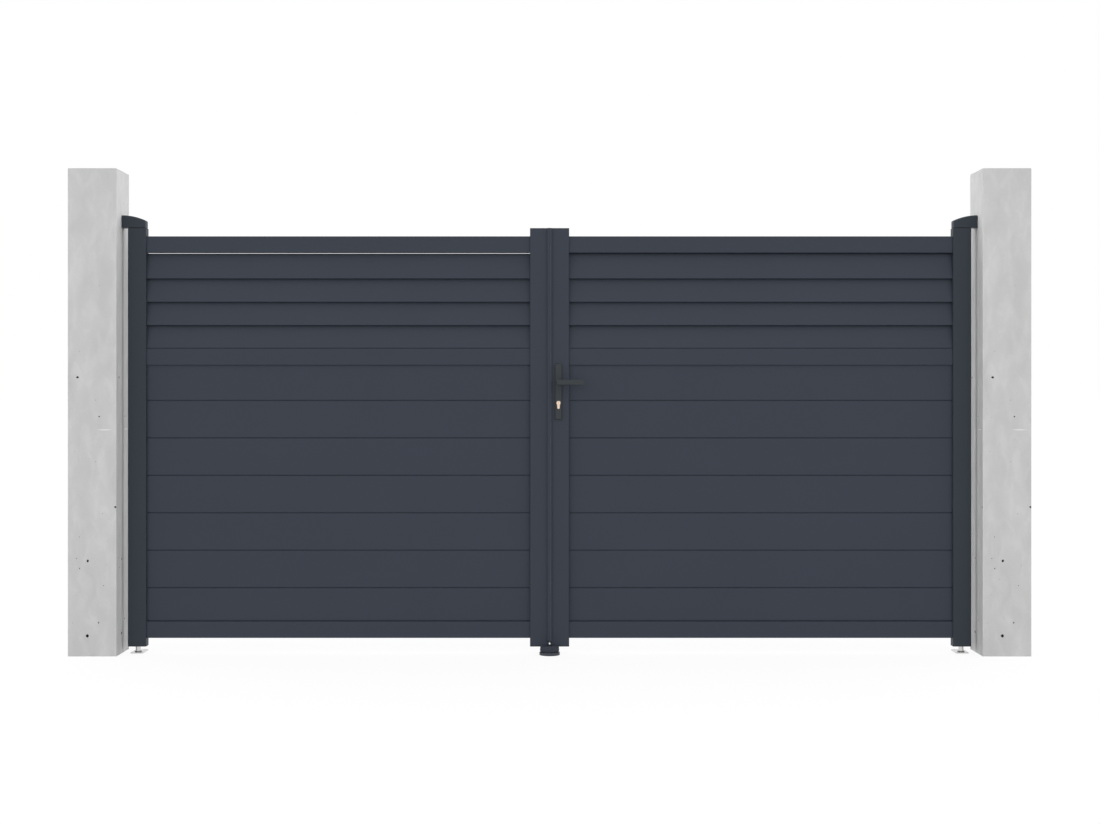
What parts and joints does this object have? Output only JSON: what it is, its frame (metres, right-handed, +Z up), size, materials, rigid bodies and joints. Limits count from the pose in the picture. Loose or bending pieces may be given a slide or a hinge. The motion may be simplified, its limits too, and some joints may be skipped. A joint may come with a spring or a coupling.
{
  "type": "electric swing gate",
  "caption": "Double-leaf swing gate between square concrete pillars, with lean-back louvres over tongue-and-groove boards and a lever lock.",
  "frame": {"origin": "centre of the left pillar's foot, on the ground", "axes": "+X along the gate to the right pillar, +Y away from the street, into the yard, +Z up"},
  "size_m": [3.947, 0.2, 2],
  "materials": {
    "cast_concrete": "fair-faced cast concrete, matt, small air holes",
    "leaf_coating": "anthracite powder coating, fine matt",
    "bracket_coating": "anthracite powder coating, a shade darker, fine matt",
    "lock_coating": "dark grey coated metal, satin",
    "cap_plastic": "dark grey moulded plastic",
    "stainless_steel": "turned stainless steel",
    "stop_casting": "dark coated casting",
    "buffer_rubber": "dark moulded rubber",
    "seal_rubber": "dark extruded rubber",
    "cylinder_brass": "satin brass"
  },
  "bodies": {
    "pillars": {"left_pillar": "cast_concrete", "left_hinge_bracket": "bracket_coating", "left_hinge_pin": "stainless_steel", "left_pivot_plate": "stainless_steel", "left_pivot_shaft": "stainless_steel", "right_pillar": "cast_concrete", "right_hinge_bracket": "bracket_coating", "right_hinge_pin": "stainless_steel", "right_pivot_plate": "stainless_steel", "right_pivot_shaft": "stainless_steel", "stop_base": "stop_casting", "stop_buffer": "buffer_rubber"},
    "left_leaf": {"left_hinge_stile": "bracket_coating", "left_hinge_top_bush": "cap_plastic", "left_hinge_foot_bush": "cap_plastic", "left_meeting_stile": "leaf_coating", "left_meeting_top_cap": "cap_plastic", "left_meeting_foot_cap": "cap_plastic", "left_top_rail": "leaf_coating", "left_middle_rail": "leaf_coating", "left_bottom_rail": "leaf_coating", "left_boards": "leaf_coating", "left_louvre_slats": "leaf_coating", "left_meeting_trim": "leaf_coating", "meeting_seal": "seal_rubber", "strike_plate": "stainless_steel"},
    "right_leaf": {"right_hinge_stile": "bracket_coating", "right_hinge_top_bush": "cap_plastic", "right_hinge_foot_bush": "cap_plastic", "right_meeting_stile": "leaf_coating", "right_meeting_top_cap": "cap_plastic", "right_meeting_foot_cap": "cap_plastic", "right_top_rail": "leaf_coating", "right_middle_rail": "leaf_coating", "right_bottom_rail": "leaf_coating", "right_boards": "leaf_coating", "right_louvre_slats": "leaf_coating", "right_meeting_trim": "leaf_coating", "front_lock_plate": "lock_coating", "back_lock_plate": "lock_coating", "lock_cylinder": "cylinder_brass", "lock_faceplate": "stainless_steel"},
    "lever": {"front_lever": "lock_coating", "back_lever": "lock_coating", "lever_spindle": "stainless_steel"}
  },
  "joints": [
    {"name": "left_leaf_swing", "type": "hinge", "parent": "pillars", "child": "left_leaf", "pos_m": [0.164, 0, 0], "axis": [0, 0, 1], "range_deg": [0, 90]},
    {"name": "right_leaf_swing", "type": "hinge", "parent": "pillars", "child": "right_leaf", "pos_m": [3.583, 0, 0], "axis": [0, 0, -1], "range_deg": [0, 90]},
    {"name": "lever_turn", "type": "hinge", "parent": "right_leaf", "child": "lever", "pos_m": [1.9103, 0, 1.1224], "axis": [0, 1, 0], "range_deg": [0, 45], "stiffness_Nm_per_rad": 1.2, "springref_deg": -34.38}
  ]
}
